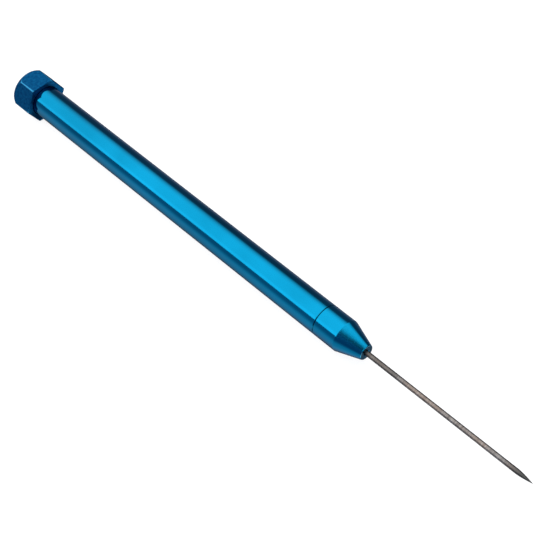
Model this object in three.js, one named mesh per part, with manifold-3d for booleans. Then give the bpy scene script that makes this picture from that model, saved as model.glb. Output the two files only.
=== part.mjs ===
// A soldering pick: a titanium needle held by a small collet in the nose of a hollow handle, with
// a hexagonal cap at the back that keeps it from rolling off the bench.
// Millimetres. X runs along the axis from the cap to the needle's point, and the pick lies on one
// flat of its cap at Z = 0.

import * as THREE from 'three';
import { mergeVertices } from 'three/addons/utils/BufferGeometryUtils.js';
import Module from 'manifold-3d';

const wasm = await Module();
wasm.setup();

// Driving dimensions: the needle
const needleDiameter = 1.5;
const needleLength = 90;
const needleReach = 58.35; // from the front of the nose to the point
const needlePointLength = 5.3;
const needlePointPower = 1.5; // 1 is a plain cone, higher is a rounder ogive
const needleTailChamfer = 0.2;

// Driving dimensions: the collet
const colletWall = 0.7;
const colletTipWall = 0.25; // wall of the jaws at their front edge
const colletConeAngle = 20; // degrees from the axis
const slitWidth = 0.35;
const slitLength = 10;

// Driving dimensions: the nose
const noseBodyLength = 7.84;
const noseConeLength = 8.02;
const noseFrontWall = 1.5; // around the needle's hole
const noseFrontRound = 0.3;
const noseHoleLength = 4.6;
const noseHoleCountersink = 0.15;
const spigotWall = 0.85;
const spigotLength = 7;
const spigotRelief = 0.5; // plain neck between the thread and the shoulder

// Driving dimensions: the thread that the nose and the stud share
const threadPitch = 1;
const threadDepth = 0.55;
const threadRootWidth = 0.72;
const threadCrestWidth = 0.16;
const threadLeadIn = 0.5;

// Driving dimensions: the handle and its two pressed bushes
const bushWall = 0.5;
const bushSeat = 1.5; // floor that the collet's tail bears on
const bushTailHole = 2.2;
const rearBushLength = 8;
const colletTailRoom = 1.2; // from the end of the spigot to the seat
const handleWall = 1.38;
const handleReach = 125.3; // from the cap's shoulder to the nose
const jointChamfer = 0.2;

// Driving dimensions: the cap, its stud and its sealing ring
const capFlatStep = 1.5; // how far each flat stands out from the handle
const capLength = 8.2;
const capFaceInset = 0.1; // the end face's edge is this far inside the flats
const capFaceRound = 0.3;
const capCrownLength = 2.6;
const capCrownBulge = 0.2;
const capCornerRound = 0.5;
const capEndWall = 1.2;
const capSocketDepth = 0.8; // how far the handle enters the cap
const studThreadLength = 7;
const ringSection = 0.95;

// Clearances
const pressClearance = 0.02; // pressed or glued pieces, on the radius
const runningClearance = 0.05; // sliding pieces, on the radius
const boreClearance = 0.1; // collet in the nose, handle in the cap, on the radius
const needleHoleClearance = 0.2; // needle in the nose's front, on the radius
const threadClearance = 0.1;
const threadFlankClearance = 0.07;
const seatGap = 0.02; // a ring or tail resting on its seat
const colletConeGap = 0.15; // along the axis, before the jaws close

// Fineness of the round shapes
const roundSegments = 48;
const needleSegments = 24;
const threadSegments = 16;
const curveSteps = 3;
const pointSteps = 9;
const ringSides = 8;
const cutMargin = 1; // how far a cutting shape runs past the face it leaves by
const threadOverlap = 0.15; // how far a rib runs into its core, and its cutter past its crest
const turningAllowance = 0.15; // the cap's turned profile clears the bar's corners by this

// Radii, worked outward from the needle
const needleRadius = needleDiameter / 2;
const colletBoreRadius = needleRadius + runningClearance;
const colletRadius = colletBoreRadius + colletWall;
const colletTipRadius = colletBoreRadius + colletTipWall;
const noseHoleRadius = needleRadius + needleHoleClearance;
const noseFrontRadius = noseHoleRadius + noseFrontWall;
const spigotBoreRadius = colletRadius + boreClearance;
const threadRootRadius = spigotBoreRadius + spigotWall;
const threadCrestRadius = threadRootRadius + threadDepth;
const bushRadius = threadCrestRadius + threadClearance + bushWall;
const handleBoreRadius = bushRadius + pressClearance;
const handleRadius = handleBoreRadius + handleWall;
const capFlatRadius = handleRadius + capFlatStep;
const capCornerRadius = capFlatRadius / Math.cos(Math.PI / 6);
const studRadius = threadCrestRadius;
const ringRadius = studRadius + runningClearance + ringSection / 2;

// Places along the axis, from the cap's shoulder
const handleRear = -capSocketDepth;
const noseFront = handleReach + noseBodyLength + noseConeLength;
const ringRoom = ringSection + 2 * seatGap;
const capFloor = handleRear - ringRoom;
const bushSeatDepth = spigotLength + colletTailRoom;
const frontBushLength = bushSeatDepth + bushSeat;
const colletTail = handleReach - bushSeatDepth + seatGap;
const coneSlope = Math.tan(THREE.MathUtils.degToRad(colletConeAngle));
const coneSmallEnd = noseFront - noseHoleLength;
const colletFront = coneSmallEnd - (colletTipRadius - noseHoleRadius) / coneSlope - colletConeGap;
const needlePoint = noseFront + needleReach;
const needleTail = needlePoint - needleLength;

// Turns a profile drawn as (radius, x) into a solid round the X axis. The profile runs
// counterclockwise, up the outside and down the bore, and closes on itself or on the axis.
function turned(profile, segments = roundSegments) {
  const geometry = new THREE.LatheGeometry(profile.getPoints(curveSteps), segments);
  return geometry.rotateZ(-Math.PI / 2);
}

// A closed geometry as a solid that can be cut and joined.
function solid(geometry) {
  const bare = geometry.clone();
  bare.deleteAttribute('normal');
  bare.deleteAttribute('uv');
  const merged = mergeVertices(bare, 1e-4);
  const corners = merged.index.array;
  const triangles = [];
  for (let i = 0; i < corners.length; i += 3) {
    const [a, b, c] = corners.slice(i, i + 3);
    if (a !== b && b !== c && c !== a) triangles.push(a, b, c);
  }
  return new wasm.Manifold(new wasm.Mesh({
    numProp: 3,
    vertProperties: new Float32Array(merged.attributes.position.array),
    triVerts: new Uint32Array(triangles),
  }));
}

// A cut or joined solid as a geometry again.
function geometryOf(shape) {
  const mesh = shape.getMesh();
  const geometry = new THREE.BufferGeometry();
  geometry.setAttribute('position', new THREE.BufferAttribute(mesh.vertProperties, 3));
  geometry.setIndex(new THREE.BufferAttribute(mesh.triVerts, 1));
  geometry.computeVertexNormals();
  return geometry;
}

// One right-handed helical rib of trapezoid section between two places on the X axis. Its turns
// are counted from x = 0, so a male and a female thread built from the same plane are in step.
function helicalRib(from, to, innerRadius, outerRadius, innerWidth, outerWidth) {
  const first = Math.floor(from / threadPitch * threadSegments);
  const last = Math.ceil(to / threadPitch * threadSegments);
  const section = [
    [innerRadius, -innerWidth / 2],
    [outerRadius, -outerWidth / 2],
    [outerRadius, outerWidth / 2],
    [innerRadius, innerWidth / 2],
  ];
  const positions = [];
  for (let step = first; step <= last; step++) {
    const angle = 2 * Math.PI * step / threadSegments;
    const middle = threadPitch * step / threadSegments;
    for (const [radius, offset] of section) {
      positions.push(middle + offset, radius * Math.cos(angle), radius * Math.sin(angle));
    }
  }
  const indices = [0, 1, 2, 0, 2, 3];
  const end = 4 * (last - first);
  indices.push(end, end + 2, end + 1, end, end + 3, end + 2);
  for (let base = 0; base < end; base += 4) {
    for (let side = 0; side < 4; side++) {
      const next = (side + 1) % 4;
      indices.push(base + side, base + side + 4, base + next + 4);
      indices.push(base + side, base + next + 4, base + next);
    }
  }
  const geometry = new THREE.BufferGeometry();
  geometry.setAttribute('position', new THREE.Float32BufferAttribute(positions, 3));
  geometry.setIndex(indices);
  return geometry;
}

// The male thread between two places, with a chamfered lead-in at its free end.
function maleThread(freeEnd, neckEnd) {
  const rib = helicalRib(
    Math.min(freeEnd, neckEnd) - threadPitch,
    Math.max(freeEnd, neckEnd) + threadPitch,
    threadRootRadius - threadOverlap,
    threadCrestRadius,
    threadRootWidth,
    threadCrestWidth,
  );
  const toward = Math.sign(neckEnd - freeEnd);
  const outline = [
    new THREE.Vector2(threadRootRadius - threadOverlap, freeEnd),
    new THREE.Vector2(threadRootRadius, freeEnd),
    new THREE.Vector2(threadCrestRadius + threadOverlap, freeEnd + toward * (threadLeadIn + threadOverlap)),
    new THREE.Vector2(threadCrestRadius + threadOverlap, neckEnd),
    new THREE.Vector2(threadRootRadius - threadOverlap, neckEnd),
  ];
  if (toward < 0) outline.reverse();
  const envelope = new THREE.Path(outline).closePath();
  return solid(rib).intersect(solid(turned(envelope, threadSegments)));
}

// The groove that the male thread runs in, between two places.
function threadGroove(from, to) {
  return solid(helicalRib(
    from,
    to,
    threadRootRadius - threadOverlap + threadClearance,
    threadCrestRadius + threadClearance,
    threadRootWidth + 2 * threadFlankClearance,
    threadCrestWidth + 2 * threadFlankClearance,
  ));
}

function needleGeometry() {
  const profile = new THREE.Path();
  profile.moveTo(0, 0);
  profile.lineTo(needleRadius - needleTailChamfer, 0);
  profile.lineTo(needleRadius, needleTailChamfer);
  for (let step = 0; step < pointSteps; step++) {
    const along = step / pointSteps;
    const x = needleLength - needlePointLength * (1 - along);
    profile.lineTo(needleRadius * (1 - along ** needlePointPower), x);
  }
  profile.lineTo(0, needleLength);
  return new THREE.LatheGeometry(profile.getPoints(1), needleSegments).rotateZ(-Math.PI / 2);
}

// A split brass tube: its coned front closes on the needle when the nose is screwed home.
function colletGeometry() {
  const length = colletFront - colletTail;
  const coneLength = (colletRadius - colletTipRadius) / coneSlope;
  const profile = new THREE.Path();
  profile.moveTo(colletBoreRadius, 0);
  profile.lineTo(colletRadius, 0);
  profile.lineTo(colletRadius, length - coneLength);
  profile.lineTo(colletTipRadius, length);
  profile.lineTo(colletBoreRadius, length);
  profile.closePath();
  const slitDepth = 2 * (colletRadius + cutMargin);
  const slit = new THREE.BoxGeometry(slitLength + cutMargin, slitWidth, slitDepth);
  slit.translate(length + (cutMargin - slitLength) / 2, 0, 0);
  let shape = solid(turned(profile, needleSegments));
  for (const angle of [Math.PI / 4, 3 * Math.PI / 4]) {
    shape = shape.subtract(solid(slit.clone().rotateX(angle)));
  }
  return geometryOf(shape);
}

// The nose: a coned body on a threaded spigot, bored for the collet and coned inside to close it.
// Its own x = 0 is the shoulder that meets the handle.
function noseGeometry() {
  const length = noseBodyLength + noseConeLength;
  const boreEnd = length - noseHoleLength - (spigotBoreRadius - noseHoleRadius) / coneSlope;
  const body = new THREE.Path();
  body.moveTo(0, 0);
  body.lineTo(handleRadius - jointChamfer, 0);
  body.lineTo(handleRadius, jointChamfer);
  body.lineTo(handleRadius, noseBodyLength);
  body.lineTo(noseFrontRadius, length - noseFrontRound);
  body.quadraticCurveTo(
    noseFrontRadius - noseFrontRound / 4,
    length,
    noseFrontRadius - noseFrontRound,
    length,
  );
  body.lineTo(0, length);
  const spigot = new THREE.Path();
  spigot.moveTo(0, -spigotLength);
  spigot.lineTo(threadRootRadius, -spigotLength);
  spigot.lineTo(threadRootRadius, cutMargin);
  spigot.lineTo(0, cutMargin);
  const bore = new THREE.Path();
  bore.moveTo(0, -spigotLength - cutMargin);
  bore.lineTo(spigotBoreRadius, -spigotLength - cutMargin);
  bore.lineTo(spigotBoreRadius, boreEnd);
  bore.lineTo(noseHoleRadius, length - noseHoleLength);
  bore.lineTo(noseHoleRadius, length - noseHoleCountersink);
  bore.lineTo(noseHoleRadius + noseHoleCountersink + cutMargin, length + cutMargin);
  bore.lineTo(0, length + cutMargin);
  const shape = solid(turned(body))
    .add(solid(turned(spigot, threadSegments)))
    .add(maleThread(-spigotLength, -spigotRelief))
    .subtract(solid(turned(bore, needleSegments)));
  return geometryOf(shape);
}

// The front bush: threaded for the nose, with a floor for the collet's tail and a hole for the
// needle. Its own x = 0 is the front face of the handle.
function frontBushGeometry() {
  const minorRadius = threadRootRadius + threadClearance;
  const profile = new THREE.Path();
  profile.moveTo(bushTailHole / 2, -frontBushLength);
  profile.lineTo(bushRadius, -frontBushLength);
  profile.lineTo(bushRadius, 0);
  profile.lineTo(minorRadius, 0);
  profile.lineTo(minorRadius, -bushSeatDepth);
  profile.lineTo(bushTailHole / 2, -bushSeatDepth);
  profile.closePath();
  const groove = threadGroove(-spigotLength, cutMargin);
  return geometryOf(solid(turned(profile, threadSegments)).subtract(groove));
}

// The rear bush: threaded right through for the cap's stud. Its own x = 0 is the handle's end.
function rearBushGeometry() {
  const minorRadius = threadRootRadius + threadClearance;
  const profile = new THREE.Path();
  profile.moveTo(minorRadius, 0);
  profile.lineTo(bushRadius, 0);
  profile.lineTo(bushRadius, rearBushLength);
  profile.lineTo(minorRadius, rearBushLength);
  profile.closePath();
  const groove = threadGroove(-cutMargin, rearBushLength + cutMargin);
  return geometryOf(solid(turned(profile, threadSegments)).subtract(groove));
}

function handleGeometry() {
  const profile = new THREE.Path();
  profile.moveTo(handleBoreRadius, handleRear);
  profile.lineTo(handleRadius, handleRear);
  profile.lineTo(handleRadius, handleReach - jointChamfer);
  profile.lineTo(handleRadius - jointChamfer, handleReach);
  profile.lineTo(handleBoreRadius, handleReach);
  profile.closePath();
  return turned(profile);
}

// The cap: a hexagonal bar turned to a crown at its end and bored for the handle and the stud.
// Its own x = 0 is the shoulder.
function capGeometry() {
  const outside = capCornerRadius + turningAllowance;
  const socketRadius = handleRadius + boreClearance;
  const holeRadius = studRadius + pressClearance;
  const faceEdge = capFlatRadius - capFaceInset;
  const crownBend = (faceEdge + outside) / 2 + capCrownBulge;
  const crownLean = (crownBend - faceEdge) / (capCrownLength / 2);
  const profile = new THREE.Path();
  profile.moveTo(0, -capLength);
  profile.lineTo(faceEdge - capFaceRound, -capLength);
  profile.quadraticCurveTo(
    faceEdge,
    -capLength,
    faceEdge + crownLean * capFaceRound,
    capFaceRound - capLength,
  );
  profile.quadraticCurveTo(
    crownBend,
    capCrownLength / 2 - capLength,
    outside,
    capCrownLength - capLength,
  );
  profile.lineTo(outside, -capCornerRound);
  profile.quadraticCurveTo(outside, 0, capCornerRadius - capCornerRound, 0);
  profile.lineTo(socketRadius, 0);
  profile.lineTo(socketRadius, capFloor);
  profile.lineTo(holeRadius, capFloor);
  profile.lineTo(holeRadius, capEndWall - capLength);
  profile.lineTo(0, capEndWall - capLength);
  const sides = 6;
  const bar = new THREE.CylinderGeometry(
    capCornerRadius,
    capCornerRadius,
    capLength,
    sides,
    1,
    false,
    Math.PI / sides,
  );
  bar.rotateZ(-Math.PI / 2).translate(-capLength / 2, 0, 0);
  return geometryOf(solid(bar).intersect(solid(turned(profile))));
}

// The stud: a plain shank glued into the cap and a thread that screws into the rear bush. Its own
// x = 0 is the handle's end.
function studGeometry() {
  const shankEnd = capEndWall - capLength - handleRear + seatGap;
  const profile = new THREE.Path();
  profile.moveTo(0, shankEnd);
  profile.lineTo(studRadius, shankEnd);
  profile.lineTo(studRadius, -seatGap);
  profile.lineTo(threadRootRadius, -seatGap);
  profile.lineTo(threadRootRadius, studThreadLength);
  profile.lineTo(0, studThreadLength);
  const thread = maleThread(studThreadLength, spigotRelief);
  return geometryOf(solid(turned(profile, threadSegments)).add(thread));
}

function ringGeometry() {
  const ring = new THREE.TorusGeometry(ringRadius, ringSection / 2, ringSides, needleSegments);
  return ring.rotateY(Math.PI / 2);
}

// One node of the pick, placed along the axis.
function piece(name, geometry, x, look) {
  const mesh = new THREE.Mesh(geometry, new THREE.MeshStandardMaterial(look));
  mesh.name = name;
  mesh.position.x = x;
  return mesh;
}

const blueAluminium = { color: 0x0b84c6, roughness: 0.22, metalness: 0.95 };
const darkBlueAluminium = { color: 0x0a5a96, roughness: 0.28, metalness: 0.95 };
const brass = { color: 0xb08d45, roughness: 0.35, metalness: 1 };
const steel = { color: 0x9a9a98, roughness: 0.35, metalness: 1 };
const titanium = { color: 0x8d847e, roughness: 0.5, metalness: 0.9 };
const blackRubber = { color: 0x151515, roughness: 0.8, metalness: 0 };

const pick = new THREE.Group();
pick.add(
  piece('handle_tube', handleGeometry(), 0, blueAluminium),
  piece('front_bush', frontBushGeometry(), handleReach, brass),
  piece('rear_bush', rearBushGeometry(), handleRear, brass),
  piece('nose_cone', noseGeometry(), handleReach, blueAluminium),
  piece('collet', colletGeometry(), colletTail, brass),
  piece('needle', needleGeometry(), needleTail, titanium),
  piece('end_cap', capGeometry(), 0, darkBlueAluminium),
  piece('cap_stud', studGeometry(), handleRear, steel),
  piece('cap_sealing_ring', ringGeometry(), handleRear - ringRoom / 2, blackRubber),
);
pick.position.set((capLength - needlePoint) / 2, 0, capFlatRadius);

export default pick;
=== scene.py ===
import bpy
import numpy as np
from mathutils import Matrix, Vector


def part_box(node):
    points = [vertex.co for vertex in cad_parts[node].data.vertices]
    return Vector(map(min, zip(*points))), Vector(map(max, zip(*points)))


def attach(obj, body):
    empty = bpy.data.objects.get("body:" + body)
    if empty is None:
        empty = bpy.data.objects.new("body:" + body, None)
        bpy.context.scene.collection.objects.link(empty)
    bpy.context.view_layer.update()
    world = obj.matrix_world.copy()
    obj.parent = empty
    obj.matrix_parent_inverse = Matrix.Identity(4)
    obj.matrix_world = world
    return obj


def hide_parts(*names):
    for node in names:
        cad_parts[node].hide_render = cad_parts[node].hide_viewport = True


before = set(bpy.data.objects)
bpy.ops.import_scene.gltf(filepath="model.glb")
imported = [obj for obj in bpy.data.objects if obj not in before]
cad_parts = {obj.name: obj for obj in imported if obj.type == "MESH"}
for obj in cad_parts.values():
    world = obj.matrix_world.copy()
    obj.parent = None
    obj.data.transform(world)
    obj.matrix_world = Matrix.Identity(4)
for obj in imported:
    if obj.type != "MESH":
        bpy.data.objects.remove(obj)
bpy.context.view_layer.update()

# The camera stands in front and to the right of the needle's point, 424 mm away, looking 51
# degrees down along the pick. Its field is narrow, as a long lens on a copy stand has.
camera_data = bpy.data.cameras.new("copy_stand_camera")
camera_data.sensor_width = 36.0
camera_data.lens = 98.18
camera_data.clip_start = 0.01
camera_data.clip_end = 20.0
camera = bpy.data.objects.new("copy_stand_camera", camera_data)
bpy.context.scene.collection.objects.link(camera)
camera.matrix_world = Matrix((
    (0.68678, -0.53841, 0.48831, 0.214740),
    (0.72492, 0.55654, -0.40591, -0.170337),
    (-0.05322, 0.63275, 0.77252, 0.333713),
    (0.0, 0.0, 0.0, 1.0),
))
bpy.context.scene.camera = camera


# The room: a white table and a pale wall, which the polished metal doesn't mirror, and round them
# a studio that it does. The photograph's background is clean white, so the table glows a little
# and takes only a faint shadow.
class Tone:
    """One output of a finish's nodes, such as a mask or a colour. Arithmetic on it, from either
    side, adds Math nodes, so 1 - mask is the mask turned round."""

    def __init__(self, finish, socket):
        self.finish = finish
        self.socket = socket

    def maths(self, operation, first, second):
        return self.finish.node("Math", {"operation": operation}, [first, second])

    def __add__(self, other):
        return self.maths("ADD", self, other)

    def __sub__(self, other):
        return self.maths("SUBTRACT", self, other)

    def __rsub__(self, other):
        return self.maths("SUBTRACT", other, self)

    def __mul__(self, other):
        return self.maths("MULTIPLY", self, other)

    __radd__ = __add__
    __rmul__ = __mul__


class Finish:
    """The nodes of a material, or of the studio's own light. node() adds a node of a type, sets
    its settings first, then its inputs by name or in order, and gives one output as a Tone."""

    def __init__(self, owner, shader="Principled BSDF"):
        owner.use_nodes = True
        self.owner = owner
        self.tree = owner.node_tree
        self.shader = self.tree.nodes[shader]

    def feed(self, socket, value):
        if isinstance(value, Tone):
            self.tree.links.new(value.socket, socket)
        else:
            socket.default_value = value

    def node(self, kind, settings=None, inputs=(), output=0):
        made = self.tree.nodes.new("ShaderNode" + kind)
        for name, value in (settings or {}).items():
            if name == "stops":
                ramp = made.color_ramp.elements
                while len(ramp) < len(value):
                    ramp.new(0.5)
                for stop, (place, colour) in zip(ramp, value):
                    stop.position = place
                    stop.color = (*colour, 1.0)
            else:
                setattr(made, name, value)
        pairs = inputs.items() if isinstance(inputs, dict) else enumerate(inputs)
        for key, value in pairs:
            self.feed(made.inputs[key], value)
        return Tone(self, made.outputs[output])

    def surface(self, **inputs):
        for name, value in inputs.items():
            self.feed(self.shader.inputs[name.replace("_", " ")], value)
        return self.owner

    def eased(self, value, start, end, low=0.0, high=1.0):
        """Goes from low to high as value goes from start to end, slow at both ends."""
        return self.node(
            "MapRange",
            {"interpolation_type": "SMOOTHSTEP"},
            {"Value": value, "From Min": start, "From Max": end, "To Min": low, "To Max": high},
        )

    def mixed(self, share, first, second):
        """A colour that goes from the first to the second as share goes from 0 to 1."""
        ends = [end if isinstance(end, Tone) else (*end, 1.0) for end in (first, second)]
        inputs = {"Factor": share, "A": ends[0], "B": ends[1]}
        return self.node("Mix", {"data_type": "RGBA"}, inputs, output="Result")

    def place(self, axis=None):
        """The point that is being shaded, in the object's own metres, or one coordinate of it."""
        point = self.node("TexCoord", output="Object")
        return point if axis is None else self.part(point, axis)

    def part(self, vector, axis):
        """The coordinate x, y or z of a vector."""
        return self.node("SeparateXYZ", inputs=[vector], output="xyz".index(axis))


def sheet_of(name, grid, round_rows=False, round_columns=False, sharp=40.0, marks=None):
    """Makes a mesh object, in metres, of a grid of points in millimetres. Every four neighbours
    of the grid are a face. A first or last row whose points all coincide is a pole and becomes
    one vertex, and the faces are turned outwards by the sign of the volume that they enclose.
    Marks are named values of the grid's points, which a finish can read."""
    rows, columns = grid.shape[:2]
    index = np.arange(rows * columns).reshape(rows, columns)
    for end in (0, rows - 1):
        if not round_rows and np.ptp(grid[end], axis=0).max() < 1e-9:
            index[end] = index[end, 0]
    if round_rows:
        index = np.vstack([index, index[:1]])
    if round_columns:
        index = np.hstack([index, index[:, :1]])
    corners = np.stack([index[:-1, :-1], index[1:, :-1], index[1:, 1:], index[:-1, 1:]], axis=2)
    corners = corners.reshape(-1, 4)
    points = grid.reshape(-1, 3)
    first, second, third, fourth = (points[corners[:, k]] for k in range(4))
    volume = np.einsum("ij,ij->i", first, np.cross(second, third) + np.cross(third, fourth)).sum()
    if volume < 0:
        corners = corners[:, ::-1]
    same = corners == np.roll(corners, -1, axis=1)
    poles = same.any(axis=1)
    used, corners_used = np.unique(corners, return_inverse=True)
    corners_used = corners_used.reshape(-1, 4)
    faces = corners_used[~poles].tolist()
    faces += corners_used[poles][~same[poles]].reshape(-1, 3).tolist()
    mesh = bpy.data.meshes.new(name)
    mesh.from_pydata((points[used] * 0.001).tolist(), [], faces)
    mesh.polygons.foreach_set("use_smooth", np.ones(len(faces), bool))
    mesh.set_sharp_from_angle(angle=np.radians(sharp))
    for mark, values in (marks or {}).items():
        layer = mesh.attributes.new(mark, "FLOAT", "POINT")
        layer.data.foreach_set("value", values.reshape(-1)[used].astype(np.float32))
    thing = bpy.data.objects.new(name, mesh)
    bpy.context.scene.collection.objects.link(thing)
    return thing


def disc_of_revolution(profile, turns=96):
    """Turns (radius, height) rows about the vertical: x = radius cos a, y = radius sin a."""
    angle = np.linspace(0, 2 * np.pi, turns, endpoint=False)
    radius, height = np.array(profile, float).T
    x = np.outer(radius, np.cos(angle))
    y = np.outer(radius, np.sin(angle))
    return np.stack([x, y, np.broadcast_to(height[:, None], x.shape)], axis=2)


def glowing(name, strength, white=0.0):
    """The finish of a stage piece: a white glow over a dull surface of the given whiteness."""
    finish = Finish(bpy.data.materials.new(name))
    finish.surface(
        Base_Color=(white, white, white, 1.0),
        Roughness=0.9,
        Specular_IOR_Level=0.0,
        Emission_Color=(1.0, 1.0, 1.0, 1.0),
        Emission_Strength=strength,
    )
    return finish


def keep_out_of(thing, *rays):
    """Hides a stage piece from kinds of light ray, so that it lights or mirrors nothing."""
    for ray in rays:
        setattr(thing, "visible_" + ray, False)


TABLE_TOP = -0.02
TABLE_BOTTOM = -20.0
TABLE_RADIUS = 4000.0
WALL_RADIUS = 4500.0
table = sheet_of(
    "white_table",
    disc_of_revolution([
        (0, TABLE_TOP),
        (300, TABLE_TOP),
        (TABLE_RADIUS, TABLE_TOP),
        (TABLE_RADIUS, TABLE_BOTTOM),
        (0, TABLE_BOTTOM),
    ]),
    round_columns=True,
)
# It glows a little more far out, where less of the studio's light falls on it.
table_finish = glowing("white_table", 0.86, white=0.2)
from_middle = table_finish.node(
    "VectorMath", {"operation": "LENGTH"}, [table_finish.place()], output="Value"
)
table_finish.surface(
    Emission_Color=table_finish.node(
        "ValToRGB",
        {"stops": [(0.0, (1.0, 1.0, 1.0)), (1.0, (1.25, 1.25, 1.25))]},
        [table_finish.eased(from_middle, 0.6, 2.5)],
    )
)
table.data.materials.append(table_finish.owner)
keep_out_of(table, "glossy")
lift = np.linspace(0, np.pi / 2, 25)
wall = sheet_of(
    "pale_wall",
    disc_of_revolution(np.column_stack([
        WALL_RADIUS * np.cos(lift),
        WALL_RADIUS * np.sin(lift) + TABLE_BOTTOM,
    ])),
    round_columns=True,
)
wall.data.materials.append(glowing("pale_wall", 1.0).owner)
keep_out_of(wall, "glossy", "diffuse", "transmission", "shadow", "volume_scatter")
# What the polished metal mirrors beside the lamps, by direction: a dim studio, darkest low down
# behind the pick, and paler toward its near side and below.
world = bpy.data.worlds.new("studio")
bpy.context.scene.world = world
bpy.context.scene.view_settings.view_transform = "Standard"
studio = Finish(world, "Background")
toward = studio.node("TexCoord", output="Generated")
toward_x, toward_y, toward_z = (studio.part(toward, axis) for axis in "xyz")
below = studio.eased(toward_z, 0.12, -0.36) * studio.eased(toward_x, 0.5, -0.1, 0.2, 0.8)
near = below + (1 - below) * studio.eased(toward_x, 0.1, -0.5, 0.0, 0.2)
ends = studio.eased(toward_x * toward_x, 0.52, 0.85, 0.0, 0.4) * studio.eased(toward_z, -0.5, -0.3)
rim = studio.eased(toward_y, 0.5, 0.72) * studio.eased(toward_z, 0.08, -0.35, 0.0, 0.15)
floor = studio.eased(toward_z, -0.5, -0.85, 0.0, 0.2) * studio.eased(toward_x, -0.4, -0.1)
under_handle = studio.eased(toward_z, -0.4, -0.7) * studio.eased(toward_x, -0.42, -0.48)
low_behind = studio.eased(toward_z, -0.45, -0.65) * studio.eased(toward_y, -0.1, 0.15)
facing_shoulder = (
    studio.eased(toward_x, 0.46, 0.62)
    * studio.eased(toward_x, 0.86, 0.72, 0.25, 1.0)
    * studio.eased(toward_z, -0.3, -0.6)
)
pale = studio.mixed(under_handle, (1.25, 1.2, 1.3), (0.45, 1.2, 1.35))
dim = studio.mixed(studio.eased(toward_y, -0.45, -0.75), (0.14, 0.165, 0.215), (0.12, 0.22, 0.38))
dim = studio.mixed(low_behind, dim, (0.04, 0.07, 0.11))
around = studio.mixed(near * studio.eased(toward_y, 0.1, -0.85) + rim + floor, dim, pale)
around = studio.mixed(ends, around, (0.5, 1.0, 1.4))
studio.surface(Color=studio.mixed(facing_shoulder, around, (4.1, 3.8, 3.7)))

# The light: one big diffusing panel overhead, its near and right edges cut off sharply and its far
# side fading out. The handle's broad bright band, with one crisp edge, is its mirror image.
PANEL_HEIGHT = 1200.0
UNLIT = (0.07, 0.08, 0.1)
WHITE = (1.0, 1.0, 1.0)


def overhead(across, deep):
    """A level grid of points at the panels' height, from two rows of x and y."""
    x, y = np.meshgrid(across, deep, indexing="ij")
    return np.stack([x, y, np.full_like(x, PANEL_HEIGHT)], axis=2)


# Its far side fades out along a slanting line. It is brightest at its near edge and a little
# dimmer toward its right and left ends.
panel_finish = glowing("diffusing_panel", 3.3)
panel_x, panel_y = panel_finish.place("x"), panel_finish.place("y")
slant = panel_finish.node("Math", {"operation": "MAXIMUM"}, [panel_x, -1.56]) * 0.53
spread = panel_finish.eased(panel_y - slant, 2.6, 0.56)
lamps = panel_finish.eased(panel_y, -1.0, -1.6, 0.85, 0.99)
rightward = panel_finish.eased(panel_x, -0.6, 0.3, 1.0, 0.92)
direction = panel_finish.node("VectorMath", {"operation": "NORMALIZE"}, [panel_finish.place()])
leftward = panel_finish.eased(panel_finish.part(direction, "x"), -0.55, -0.66, 1.0, 0.9)
panel_finish.surface(
    Emission_Color=panel_finish.mixed(
        spread * lamps * rightward * leftward, (0.05, 0.055, 0.07), WHITE
    )
)
panel = sheet_of(
    "diffusing_panel",
    overhead(
        np.linspace(-4.5, 0.18, 17) * PANEL_HEIGHT + 40,
        np.linspace(-2.2, 1.9, 25) * PANEL_HEIGHT,
    ),
)
panel.data.materials.append(panel_finish.owner)

# A second, weaker panel stands upright to the right and fades toward its two ends. The pick's
# back and its cap mirror it.
side_finish = glowing("side_panel", 2.2)
side_y = side_finish.place("y")
side_finish.surface(
    Emission_Color=side_finish.mixed(side_finish.eased(side_y * side_y, 2.2, 0.1), UNLIT, WHITE)
)
deep, high = np.meshgrid(np.linspace(-1500, 1500, 25), np.linspace(750, 1900, 9), indexing="ij")
side_panel = sheet_of("side_panel", np.stack([np.full_like(deep, 1600.0), deep, high], axis=2))
side_panel.data.materials.append(side_finish.owner)

# A third hangs overhead beyond the first one's right edge. Only someone who looks from the cap's
# end sees it mirrored, and it lights nothing else.
right_finish = glowing("right_panel", 2.6)
from_edge = right_finish.eased(right_finish.place("x"), 0.45, 0.7)
from_far_side = right_finish.eased(right_finish.place("y"), 1.9, 0.5)
right_finish.surface(Emission_Color=right_finish.mixed(from_edge * from_far_side, UNLIT, WHITE))
right_panel = sheet_of(
    "right_panel", overhead(np.linspace(450, 3200, 17), np.linspace(-1150, 1900, 17))
)
right_panel.data.materials.append(right_finish.owner)
for light in (panel, side_panel, right_panel):
    keep_out_of(light, "camera")
keep_out_of(right_panel, "diffuse", "shadow")

# The cap's shoulder mirrors the table in shade under the handle's rear, so a soft dark disc of
# painted shadow lies there for mirror rays.
SHADE_MIDDLE = np.array([-92.0, -3.2, 0.0])
SHADE_RADIUS = 4.0
shadow_disc = sheet_of(
    "painted_contact_shadow",
    SHADE_MIDDLE + disc_of_revolution([
        (0, -0.01), (SHADE_RADIUS, -0.01), (SHADE_RADIUS, -0.015), (0, -0.015)
    ]),
    round_columns=True,
)
# Painted shadow: the disc glows only dimly and fades out toward its rim.
patch_finish = glowing("painted_contact_shadow", 0.16)
off_middle = patch_finish.node(
    "VectorMath",
    {"operation": "DISTANCE"},
    [patch_finish.place(), tuple(SHADE_MIDDLE * 0.001)],
    output="Value",
)
patch_finish.surface(Alpha=patch_finish.eased(off_middle, SHADE_RADIUS * 0.001, 0.002))
shadow_disc.data.materials.append(patch_finish.owner)
keep_out_of(shadow_disc, "camera", "diffuse", "transmission", "shadow", "volume_scatter")

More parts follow.
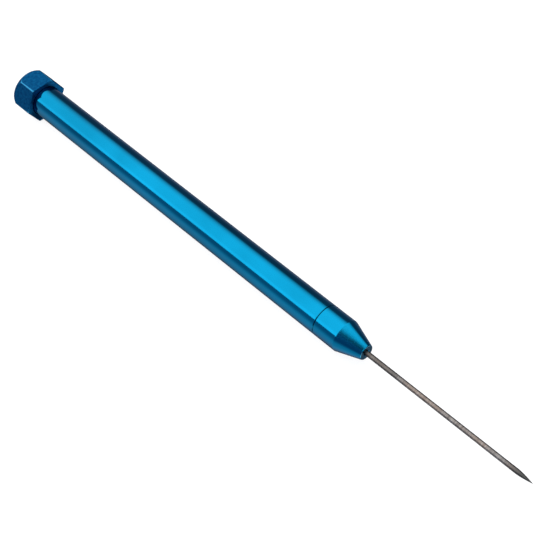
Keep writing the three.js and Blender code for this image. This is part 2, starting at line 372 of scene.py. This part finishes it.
# The handle is a drawn aluminium tube, turned, polished and anodised bright blue. Its front end
# has a small chamfer that makes the hairline joint with the nose, and its rear sits in the cap.
HANDLE_RADIUS = 5.0
BORE_RADIUS = 3.62
JOINT_CHAMFER = 0.2
handle_low, handle_high = (1000 * np.array(corner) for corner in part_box("handle_tube"))
AXIS_HEIGHT = (handle_low[2] + handle_high[2]) / 2
JOINT = handle_high[0]
HANDLE_REAR = handle_low[0]


def rounded(corners, steps=5, support=0.04, closed=False):
    """Rounds an outline given as rows of (x, radius, rounding). At each corner a circular arc of
    that rounding touches both sides: with w the cosine of half the turn, the arc is the rational
    curve (A(1-s)^2 + 2ws(1-s)P + B s^2) over its weights, from A to B on the two sides of the
    corner P. Long sides get a point close to each end, so that their shading stays straight."""
    given = np.array(corners, float)
    middle, rounding = given[:, :2], given[:, 2]
    back = np.roll(middle, 1, axis=0) - middle
    ahead = np.roll(middle, -1, axis=0) - middle
    back /= np.linalg.norm(back, axis=1)[:, None]
    ahead /= np.linalg.norm(ahead, axis=1)[:, None]
    half = np.arccos(np.clip((back * ahead).sum(axis=1), -1, 1)) / 2
    reach = rounding / np.tan(np.maximum(half, 1e-9))
    if not closed:
        reach[[0, -1]] = 0
    share = np.linspace(0, 1, steps)[None, :, None]
    weight = np.sin(half)[:, None, None]
    start = (middle + back * reach[:, None])[:, None]
    end = (middle + ahead * reach[:, None])[:, None]
    total = (1 - share) ** 2 + 2 * share * (1 - share) * weight + share ** 2
    arc = (1 - share) ** 2 * start + 2 * share * (1 - share) * weight * middle[:, None]
    line = ((arc + share ** 2 * end) / total).reshape(-1, 2)
    far = np.linalg.norm(np.diff(line, axis=0), axis=1) > 1e-6
    line = line[np.r_[True, far]]
    following = np.roll(line, -1, axis=0) if closed else np.vstack([line[1:], line[-1:]])
    step = following - line
    length = np.linalg.norm(step, axis=1)
    toward = step / np.maximum(length, 1e-9)[:, None]
    long = length > 6 * support
    filled = np.stack([line, line + toward * support, following - toward * support], axis=1)
    keep = np.column_stack([np.ones(len(line), bool), long, long])
    return filled[keep]


def about_axis(x, radius, angle):
    """Points of a round piece: at x along the pick, radius out from its axis, and angle round it
    from the top towards the near side. y = -radius sin(angle), and z = the axis's height +
    radius cos(angle)."""
    x, radius = np.broadcast_arrays(x, radius * np.ones_like(angle))
    return np.stack([
        x,
        -radius * np.sin(angle),
        AXIS_HEIGHT + radius * np.cos(angle),
    ], axis=2)


def round_the_axis(turns):
    """Equal angles round the axis, as one row of a grid."""
    return np.linspace(0, 2 * np.pi, turns, endpoint=False)[None, :]


def bright_anodised(name, colour, edge, roughness, joint, front):
    """Dyed oxide on polished aluminium: a tinted metal whose lustre is crossed by very fine rings
    left by turning, with slow patches where the dyeing took a little deeper. Edge is its colour at
    a glancing angle, joint the place along the pick where painted shade darkens the colour in the
    shut hairline joint, and front the face at its end, which the needle's use has made paler by
    wear."""
    finish = Finish(bpy.data.materials.new(name))
    place = finish.place()
    patches = finish.node("TexNoise", None, {"Vector": place, "Scale": 60.0, "Detail": 3.0})
    squeezed = finish.node("Mapping", None, {"Vector": place, "Scale": (1.0, 0.02, 0.02)})
    rings = finish.node("TexNoise", None, {"Vector": squeezed, "Scale": 14000.0, "Detail": 2.0})
    deep = tuple(part * 0.92 for part in colour)
    light = tuple(part * 1.08 for part in colour)
    painted_gap_shade = tuple(part * 0.2 for part in colour)
    surface_tone = finish.node("ValToRGB", {"stops": [(0.35, deep), (0.65, light)]}, [patches])
    along = finish.part(place, "x")
    # Painted shade: close to the joint the colour darkens toward a fifth of itself, for the shade
    # in the hairline gap.
    off_joint = finish.node("Math", {"operation": "ABSOLUTE"}, [along - joint * 0.001])
    surface_tone = finish.mixed(finish.eased(off_joint, 0.00018, 0.00005), surface_tone, painted_gap_shade)
    at_front = finish.eased(along, front * 0.001 - 0.00004, front * 0.001 - 0.00001)
    return finish.surface(
        Base_Color=finish.mixed(at_front, surface_tone, (0.03, 0.14, 0.2)),
        Metallic=1.0,
        Roughness=rings * 0.06 + patches * 0.02 + (roughness - 0.04),
        Specular_Tint=(*edge, 1.0),
        Normal=finish.node("Bump", None, {"Strength": 0.08, "Distance": 0.00001, "Height": rings}),
    )


# The nose is anodised in the same bath, and its front face lies this far ahead of the joint.
NOSE_LENGTH = 15.86
blue_anodised = bright_anodised(
    "bright_blue_anodised",
    colour=(0.0018, 0.142, 0.262),
    edge=(0.85, 0.8, 0.85),
    roughness=0.11,
    joint=JOINT,
    front=JOINT + NOSE_LENGTH,
)
handle_outline = rounded([
    (HANDLE_REAR, BORE_RADIUS, 0.05),
    (HANDLE_REAR, HANDLE_RADIUS, 0.15),
    (JOINT - JOINT_CHAMFER, HANDLE_RADIUS, 0.08),
    (JOINT, HANDLE_RADIUS - JOINT_CHAMFER, 0.04),
    (JOINT, BORE_RADIUS, 0.05),
], closed=True)
handle = sheet_of(
    "blue_handle",
    about_axis(handle_outline[:, :1], handle_outline[:, 1:], round_the_axis(192)),
    round_rows=True,
    round_columns=True,
)
handle.data.materials.append(blue_anodised)
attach(handle, "handle")
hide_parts("handle_tube")

# The two bushes are turned brass, pressed into the ends of the handle and threaded inside. The
# front one has a floor that the collet's tail bears on, with a hole for a long needle.
THREAD_PITCH = 1.0
THREAD_ROOT = 2.45
THREAD_DEPTH = 0.55
THREAD_LENGTH = 7.0
THREAD_HALF_WIDTH = 0.36
FLANK_WIDTH = 0.28
CLEARANCE = 0.1
GROOVE_ROOT = THREAD_ROOT + CLEARANCE
MOUTH_RADIUS = GROOVE_ROOT + 0.6
BUSH_RADIUS = 3.6
BUSH_FLOOR = 8.2
FLOOR_HOLE_RADIUS = 1.1


def thread_height(x, angle, datum, slack=0.0):
    """Height of a right-hand thread over its root, as a share of its depth: 1 along the crest, 0
    along the root, eased between them. The crest's helix passes x = datum on the near side's
    level and climbs one pitch a turn. Slack widens it, for the groove that it runs in."""
    turn = (x - datum) / THREAD_PITCH - (angle + np.pi / 2) / (2 * np.pi)
    off_crest = np.abs(turn - np.round(turn)) * THREAD_PITCH
    share = np.clip((THREAD_HALF_WIDTH + slack - off_crest) / FLANK_WIDTH, 0, 1)
    return share * share * (3 - 2 * share)


def rows_along(start, end, spacing=0.06):
    """Places from start to end, about spacing apart, as a column."""
    return np.linspace(start, end, int(np.ceil(abs(end - start) / spacing)) + 1)[:, None]


def inside_thread(start, end, datum, angle):
    """The grid rows of a threaded hole from start to end: its thread is the screw's, further out
    by the clearance and a little wider."""
    rows = rows_along(start, end)
    share = thread_height(rows, angle, datum, slack=0.07)
    return about_axis(rows, GROOVE_ROOT + THREAD_DEPTH * share, angle)


def turned_rows(corners, angle):
    """The grid rows of a plain turned outline, ready to stack with threaded ones."""
    line = rounded(corners)
    return about_axis(line[:, :1], line[:, 1:], angle)


def turned_metal(name, colour, tarnish, roughness):
    """Bare turned metal: circular tool marks that break up the lustre, and a tarnish that darkens
    it in soft patches."""
    finish = Finish(bpy.data.materials.new(name))
    place = finish.place()
    squeezed = finish.node("Mapping", None, {"Vector": place, "Scale": (1.0, 0.03, 0.03)})
    marks = finish.node("TexNoise", None, {"Vector": squeezed, "Scale": 7000.0, "Detail": 3.0})
    patches = finish.node("TexNoise", None, {"Vector": place, "Scale": 300.0, "Detail": 4.0})
    return finish.surface(
        Base_Color=finish.node("ValToRGB", {"stops": [(0.3, tarnish), (0.6, colour)]}, [patches]),
        Metallic=1.0,
        Roughness=marks * 0.2 + (roughness - 0.1),
        Normal=finish.node("Bump", None, {"Strength": 0.15, "Distance": 0.00002, "Height": marks}),
    )


brass = turned_metal("turned_brass", (0.74, 0.5, 0.17), (0.5, 0.32, 0.1), 0.28)
angle = round_the_axis(96)
front_low, _ = (1000 * np.array(corner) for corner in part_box("front_bush"))
front_bush = sheet_of(
    "front_brass_bush",
    np.concatenate([
        turned_rows([
            (JOINT - BUSH_FLOOR, GROOVE_ROOT, 0),
            (JOINT - BUSH_FLOOR, FLOOR_HOLE_RADIUS, 0.05),
            (front_low[0], FLOOR_HOLE_RADIUS, 0.1),
            (front_low[0], BUSH_RADIUS, 0.15),
            (JOINT, BUSH_RADIUS, 0.1),
            (JOINT, MOUTH_RADIUS, 0),
        ], angle),
        inside_thread(JOINT, JOINT - THREAD_LENGTH, JOINT, angle),
    ]),
    round_rows=True,
    round_columns=True,
)
rear_low, rear_high = (1000 * np.array(corner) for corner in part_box("rear_bush"))
rear_bush = sheet_of(
    "rear_brass_bush",
    np.concatenate([
        turned_rows([
            (rear_high[0], MOUTH_RADIUS, 0),
            (rear_high[0], BUSH_RADIUS, 0.1),
            (rear_low[0], BUSH_RADIUS, 0.1),
            (rear_low[0], MOUTH_RADIUS, 0),
        ], angle),
        inside_thread(rear_low[0], rear_high[0], HANDLE_REAR, angle),
    ]),
    round_rows=True,
    round_columns=True,
)
for bush, node in ((front_bush, "front_bush"), (rear_bush, "rear_bush")):
    bush.data.materials.append(brass)
    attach(bush, "handle")
    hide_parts(node)

# The nose is one turned aluminium piece, anodised with the handle: a cylinder that carries on the
# handle's line, a plain cone with a rounded front, and behind the joint a threaded spigot.
NOSE_BODY = 7.84
NOSE_FRONT_RADIUS = 2.36
HOLE_RADIUS = 0.95
HOLE_CHAMFER = 0.15
HOLE_LENGTH = 4.6
SPIGOT_BORE_RADIUS = 1.6
SPIGOT_BORE_END = 9.474
SCREW_TIP_RADIUS = THREAD_ROOT - 0.08
nose_front = JOINT + NOSE_LENGTH
spigot_end = JOINT - THREAD_LENGTH


def outside_thread(start, end, tip, head, angle):
    """The grid rows of a screw's thread from start to end. Its crest rises over half a millimetre
    from the tip, and has run out half a millimetre short of the head."""
    rows = rows_along(start, end)
    lead_in = np.clip(np.abs(rows - tip) / 0.5, 0, 1)
    run_out = np.clip((np.abs(rows - head) - 0.5) / 0.1, 0, 1)
    crest = THREAD_DEPTH * thread_height(rows, angle, head)
    return about_axis(rows, THREAD_ROOT + np.minimum(crest, lead_in * run_out), angle)


angle = round_the_axis(192)
nose = sheet_of(
    "blue_nose",
    np.concatenate([
        turned_rows([
            (JOINT, THREAD_ROOT, 0),
            (JOINT, HANDLE_RADIUS - JOINT_CHAMFER, 0.04),
            (JOINT + JOINT_CHAMFER, HANDLE_RADIUS, 0.08),
            (JOINT + NOSE_BODY, HANDLE_RADIUS, 0.5),
            (nose_front, NOSE_FRONT_RADIUS, 0.22),
            (nose_front, HOLE_RADIUS + HOLE_CHAMFER, 0.03),
            (nose_front - HOLE_CHAMFER, HOLE_RADIUS, 0.03),
            (nose_front - HOLE_LENGTH, HOLE_RADIUS, 0.1),
            (JOINT + SPIGOT_BORE_END, SPIGOT_BORE_RADIUS, 0.1),
            (spigot_end, SPIGOT_BORE_RADIUS, 0.08),
            (spigot_end, SCREW_TIP_RADIUS, 0),
        ], angle),
        outside_thread(spigot_end, JOINT - 0.4, spigot_end, JOINT, angle),
    ]),
    round_rows=True,
    round_columns=True,
)
nose.data.materials.append(blue_anodised)
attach(nose, "nose")
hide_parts("nose_cone")

# The collet is a split brass tube inside the nose. Two crossed saw cuts make four jaws, whose
# coned front closes on the needle when the nose is screwed home.
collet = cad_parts["collet"]
for slot in collet.material_slots:
    slot.material = brass

# The needle is a drawn titanium rod, greyed by heat, with lengthwise die marks. Its last 5.3 mm
# are ground to a long point by turning it against a wheel, and that end is the darkest.
NEEDLE_RADIUS = 0.75
POINT_LENGTH = 5.3
TAIL_CHAMFER = 0.2
needle_low, needle_high = (1000 * np.array(corner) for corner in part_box("needle"))
taper = np.linspace(0, 1, 41)
point = np.column_stack([
    needle_high[0] - POINT_LENGTH * (1 - taper),
    NEEDLE_RADIUS * (1 - taper ** 1.5),
])
needle_outline = np.vstack([
    rounded([
        (needle_low[0], 0.0, 0),
        (needle_low[0], NEEDLE_RADIUS - TAIL_CHAMFER, 0.04),
        (needle_low[0] + TAIL_CHAMFER, NEEDLE_RADIUS, 0.1),
        (needle_high[0] - POINT_LENGTH - 0.3, NEEDLE_RADIUS, 0),
    ]),
    point,
])
needle = sheet_of(
    "titanium_needle",
    about_axis(needle_outline[:, :1], needle_outline[:, 1:], round_the_axis(64)),
    round_columns=True,
)


def drawn_titanium():
    """Titanium rod as drawn: streaks along its length, fine marks across it, and a warm grey oxide
    with cooler stretches. It is darker where it leaves the nose and over its last centimetre, and
    the ground point has rings instead of streaks. Places along it are in metres."""
    finish = Finish(bpy.data.materials.new("drawn_titanium"))
    place = finish.place()
    along = finish.part(place, "x")
    lengthwise = finish.node("Mapping", None, {"Vector": place, "Scale": (0.03, 1.0, 1.0)})
    streaks = finish.node("TexNoise", None, {"Vector": lengthwise, "Scale": 7000.0, "Detail": 3.0})
    ringwise = finish.node("Mapping", None, {"Vector": place, "Scale": (1.0, 0.03, 0.03)})
    rings = finish.node("TexNoise", None, {"Vector": ringwise, "Scale": 6000.0, "Detail": 2.0})
    bands = finish.node(
        "TexNoise", None, {"Vector": place, "Scale": 520.0, "Detail": 6.0, "Roughness": 0.65}
    )
    across = finish.node("Mapping", None, {"Vector": place, "Scale": (1.0, 0.12, 0.12)})
    scratches = finish.node(
        "TexNoise", None, {"Vector": across, "Scale": 1900.0, "Detail": 3.0, "Roughness": 0.7}
    )
    ground = finish.eased(along, 0.0975, 0.0995)
    heated = finish.eased(along, 0.092, 0.101)
    # The colour darkens toward the nose, from 60.5 mm along the pick to 55.5 mm, and stays darker
    # behind that.
    darker_by_nose = finish.eased(along, 0.0605, 0.0555, 0.0, 0.6)
    shade = bands * 0.3 + scratches * 0.55 + streaks * 0.15
    warm = finish.node(
        "ValToRGB",
        {"stops": [
            (0.38, (0.086, 0.066, 0.057)),
            (0.5, (0.138, 0.112, 0.098)),
            (0.6, (0.19, 0.17, 0.158)),
        ]},
        [shade],
    )
    cool = finish.node(
        "ValToRGB",
        {"stops": [
            (0.38, (0.074, 0.067, 0.064)),
            (0.5, (0.122, 0.114, 0.11)),
            (0.6, (0.178, 0.171, 0.169)),
        ]},
        [shade],
    )
    slow = finish.node("TexNoise", None, {"Vector": place, "Scale": 110.0, "Detail": 1.0})
    greyer = finish.eased(slow, 0.42, 0.58) * 0.8 + finish.eased(along, 0.08, 0.095) * 0.2
    oxide = finish.mixed(greyer, warm, cool)
    oxide = finish.mixed(heated + darker_by_nose, oxide, (0.046, 0.046, 0.045))
    marks = streaks * (1 - ground) + rings * ground
    return finish.surface(
        Base_Color=oxide,
        Metallic=1.0,
        Roughness=marks * 0.3 + 0.22,
        Specular_Tint=(0.5, 0.5, 0.5, 1.0),
        Normal=finish.node("Bump", None, {"Strength": 0.35, "Distance": 0.00003, "Height": marks}),
    )


needle.data.materials.append(drawn_titanium())
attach(needle, "needle")
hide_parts("needle")

# The cap is cut from hexagonal aluminium bar, turned to a crown at its closed end, bored, tumbled
# so that its edges are soft, and anodised a deeper satin blue. Its flats stop the pick rolling.
FLAT_RADIUS = 6.5
CORNER_RADIUS = 7.5
CORNER_EASE = 0.11
CROWN_LENGTH = 2.6
CROWN_BULGE = 0.2
CROWN_EASE = 0.04
FACE_ROUND = 0.3
BROW = 0.7
SHOULDER_ROUND = 0.3
RECESS_RADIUS = 5.1
RECESS_DEPTH = 1.79
STUD_HOLE_RADIUS = 3.02
STUD_HOLE_DEPTH = 7.0
cap_low, cap_high = (1000 * np.array(corner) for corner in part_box("end_cap"))
shoulder = cap_high[0]
cap_end = cap_low[0]


def soft_least(first, second, ease):
    """The lesser of two surfaces with the edge between them eased: minus ease times the logarithm
    of exp(-first / ease) + exp(-second / ease)."""
    low = np.minimum(first, second)
    return low - ease * np.log1p(np.exp(-np.abs(first - second) / ease))


def off_flat(angle):
    """The angle from each direction round the axis to the middle of the nearest flat."""
    sixth = np.pi / 3
    return np.abs(angle - np.round(angle / sixth) * sixth)


def hexagon(angle):
    """Distance from the axis to a hexagonal bar with a flat on top, in each direction: flat radius
    over the cosine of the angle to the nearest flat's middle, eased across the corner."""
    nearest = FLAT_RADIUS / np.cos(off_flat(angle))
    next_flat = FLAT_RADIUS / np.cos(np.pi / 3 - off_flat(angle))
    return soft_least(nearest, next_flat, CORNER_EASE)


def bent(share, *corners):
    """Points of (x, radius) on the curve (1-s)^2 A + 2s(1-s) B + s^2 C: it leaves A toward B and
    comes into C from B."""
    share = share[:, None]
    start, middle, end = (np.array(corner) for corner in corners)
    return (1 - share) ** 2 * start + 2 * share * (1 - share) * middle + share ** 2 * end


# Angles round the cap, closest together at its six corners.
share = np.linspace(0, 6, 6 * 72, endpoint=False)
hexagon_angle = (share - 0.055 * np.sin(2 * np.pi * share))[None, :] * np.pi / 3 + np.pi / 6
# The cap as it would be if it were turned from round bar: its end face, crown, side and brow.
crown_edge = FLAT_RADIUS - 0.1
outside = FLAT_RADIUS / np.cos(np.pi / 6) + 0.15
crown_bend = (cap_end + CROWN_LENGTH / 2, (crown_edge + outside) / 2 + CROWN_BULGE)
lean = (crown_bend[1] - crown_edge) / (CROWN_LENGTH / 2)
crown_start = (cap_end + FACE_ROUND, crown_edge + FACE_ROUND * lean)
brow_start = (shoulder - BROW, outside)
ease_in = np.linspace(0, 1, 13)
face_round = bent(
    ease_in, (cap_end, crown_edge - FACE_ROUND), (cap_end, crown_edge), crown_start
)
crown = bent(
    np.linspace(0, 1, 61), crown_start, crown_bend, (cap_end + CROWN_LENGTH, outside)
)
side = np.column_stack([
    np.linspace(cap_end + CROWN_LENGTH + 0.1, shoulder - BROW - 0.05, 11),
    np.full(11, outside),
])
brow = bent(ease_in, brow_start, (shoulder, outside), (shoulder, outside - BROW))
turned_cap = np.vstack([
    [(cap_end, 0.001), (cap_end, crown_edge - 0.6)],
    face_round,
    crown[1:],
    side,
    brow,
])
# The hexagonal bar cuts it wherever the bar is narrower.
along_cap, turned_radius = turned_cap[:, :1], turned_cap[:, 1:]
into_round = np.clip(along_cap - shoulder + SHOULDER_ROUND, 0, SHOULDER_ROUND)
inset = SHOULDER_ROUND - np.sqrt(SHOULDER_ROUND ** 2 - into_round ** 2)
bar = hexagon(hexagon_angle) - inset
outer = soft_least(turned_radius, bar, CROWN_EASE)
outer[0] = 0.0
# Where the anodising shows wear, with a painted highlight on the same places: along the six
# corners and more toward the shoulder, along the arcs where the crown meets the flats, and round
# the shoulder's rim.
from_corner = (np.pi / 6 - off_flat(hexagon_angle)) * CORNER_RADIUS
toward_shoulder = np.clip((along_cap - cap_end - 1.5) / 4.5, 0, 1)
on_corners = (0.62 + 0.38 * toward_shoulder) * np.exp(-(from_corner / 0.4) ** 2)
on_arcs = 0.8 * np.exp(-((turned_radius - bar) / 0.1) ** 2)
on_rim = 0.3 * np.exp(-((shoulder - 0.12 - along_cap) / 0.12) ** 2)
rubbed = (
    on_corners * (turned_radius > bar - 0.1)
    + on_arcs * (along_cap < cap_end + CROWN_LENGTH + 0.4)
    + on_rim
)
inside = turned_rows([
    (shoulder, 6.1, 0),
    (shoulder, RECESS_RADIUS, 0.08),
    (shoulder - RECESS_DEPTH, RECESS_RADIUS, 0.1),
    (shoulder - RECESS_DEPTH, STUD_HOLE_RADIUS, 0.05),
    (shoulder - STUD_HOLE_DEPTH, STUD_HOLE_RADIUS, 0.1),
    (shoulder - STUD_HOLE_DEPTH, 0.0, 0),
], hexagon_angle)
cap = sheet_of(
    "hexagonal_cap",
    np.concatenate([about_axis(along_cap, outer, hexagon_angle), inside]),
    round_columns=True,
    sharp=50.0,
    marks={"rubbed": np.concatenate([rubbed, np.zeros(inside.shape[:2])])},
)


def tumbled_anodised():
    """Deep blue oxide over a tumbled surface: blotchy and satin, and paler and brighter on the
    edges, partly from wear and partly a painted highlight, as the mesh's mark gives, with gaps
    where the noise is low."""
    finish = Finish(bpy.data.materials.new("deep_blue_anodised"))
    place = finish.place()
    blotches = finish.node("TexNoise", None, {"Vector": place, "Scale": 1300.0, "Detail": 6.0})
    pits = finish.node("TexNoise", None, {"Vector": place, "Scale": 4000.0, "Detail": 2.0})
    surface_tone = finish.node(
        "ValToRGB",
        {"stops": [(0.3, (0.001, 0.036, 0.108)), (0.7, (0.003, 0.074, 0.181))]},
        [blotches],
    )
    edges = finish.node("Attribute", {"attribute_name": "rubbed"}, output="Fac")
    wear_and_highlight_share = finish.eased(edges - blotches * 0.6, 0.15, 0.5)
    return finish.surface(
        # Painted highlight together with wear: the marked edges go to a paler, brighter blue.
        Base_Color=finish.mixed(wear_and_highlight_share, surface_tone, (0.02, 0.15, 0.28)),
        Metallic=1.0,
        Roughness=(pits * 0.12 + 0.43) * (1 - wear_and_highlight_share * 0.4),
        Specular_Tint=(0.55, 0.5, 0.5, 1.0),
        Normal=finish.node("Bump", None, {"Strength": 0.2, "Distance": 0.00002, "Height": pits}),
    )


cap.data.materials.append(tumbled_anodised())
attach(cap, "cap")
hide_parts("end_cap")

# The stud is turned steel: a plain shank glued into the cap and a 6 mm thread that screws into the
# rear bush.
angle = round_the_axis(96)
stud_low, stud_high = (1000 * np.array(corner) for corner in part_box("cap_stud"))
SHANK_RADIUS = THREAD_ROOT + THREAD_DEPTH
shank_end = HANDLE_REAR - 0.02
stud = sheet_of(
    "steel_stud",
    np.concatenate([
        turned_rows([
            (stud_low[0], 0.0, 0),
            (stud_low[0], SHANK_RADIUS, 0.15),
            (shank_end, SHANK_RADIUS, 0.05),
            (shank_end, THREAD_ROOT, 0),
        ], angle),
        outside_thread(HANDLE_REAR + 0.1, stud_high[0], stud_high[0], HANDLE_REAR, angle),
        turned_rows([
            (stud_high[0], SCREW_TIP_RADIUS, 0),
            (stud_high[0], 0.0, 0),
        ], angle),
    ]),
    round_columns=True,
)
stud.data.materials.append(
    turned_metal("turned_steel", (0.56, 0.55, 0.53), (0.4, 0.39, 0.37), 0.3)
)
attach(stud, "cap")
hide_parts("cap_stud")

# The sealing ring is a moulded black rubber ring on the stud, pinched between the cap's floor and
# the end of the handle.
ring_low, ring_high = (1000 * np.array(corner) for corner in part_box("cap_sealing_ring"))
RING_RADIUS = 3.525
RING_SECTION = 0.475
ring_middle = (ring_low[0] + ring_high[0]) / 2
section = np.linspace(0, 2 * np.pi, 32, endpoint=False)[:, None]
ring = sheet_of(
    "rubber_sealing_ring",
    about_axis(
        ring_middle + RING_SECTION * np.cos(section),
        RING_RADIUS + RING_SECTION * np.sin(section),
        round_the_axis(96),
    ),
    round_rows=True,
    round_columns=True,
)
rubber = Finish(bpy.data.materials.new("moulded_rubber"))
dust = rubber.node("TexNoise", None, {"Vector": rubber.place(), "Scale": 3000.0, "Detail": 3.0})
rubber.surface(
    Base_Color=rubber.node(
        "ValToRGB",
        {"stops": [(0.4, (0.008, 0.008, 0.008)), (0.75, (0.03, 0.03, 0.029))]},
        [dust],
    ),
    Roughness=dust * 0.2 + 0.5,
    Normal=rubber.node("Bump", None, {"Strength": 0.2, "Distance": 0.00002, "Height": dust}),
)
ring.data.materials.append(rubber.owner)
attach(ring, "cap_ring")
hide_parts("cap_sealing_ring")
